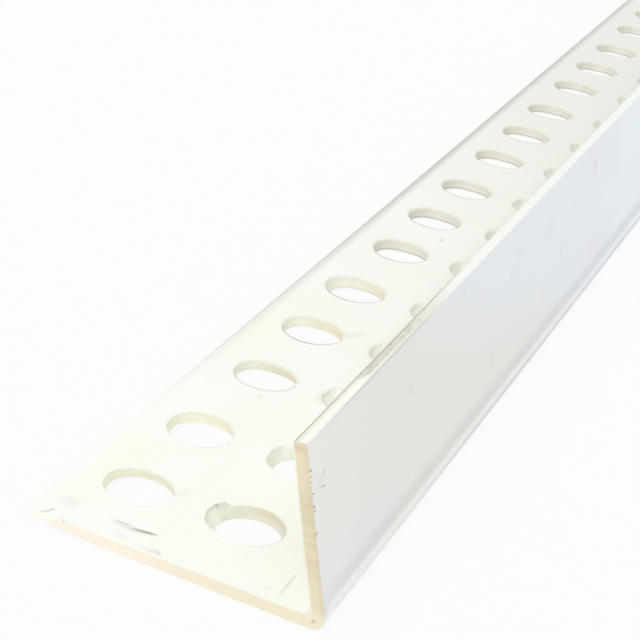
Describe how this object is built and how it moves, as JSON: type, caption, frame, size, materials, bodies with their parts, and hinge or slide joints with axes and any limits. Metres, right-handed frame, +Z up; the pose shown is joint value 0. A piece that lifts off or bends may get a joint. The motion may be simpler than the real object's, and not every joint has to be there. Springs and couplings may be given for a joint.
{
  "type": "pvc l-trim",
  "caption": "Edge trim in a long straight length of off-white plastic: a flat flange punched with two rows of round fixing holes, and a shorter plain upstand that closes a few degrees over it.",
  "frame": {"origin": "under the middle of the trim, in the plane of the flange's underside, which the trim lies on", "axes": "+X across the flange towards the upstand, +Y along the length, +Z up the upstand"},
  "size_m": [0.03, 2.5, 0.018],
  "materials": {
    "pvc": "semi-gloss off-white, slightly see-through"
  },
  "bodies": {
    "root": {"trim": "pvc"}
  },
  "joints": []
}
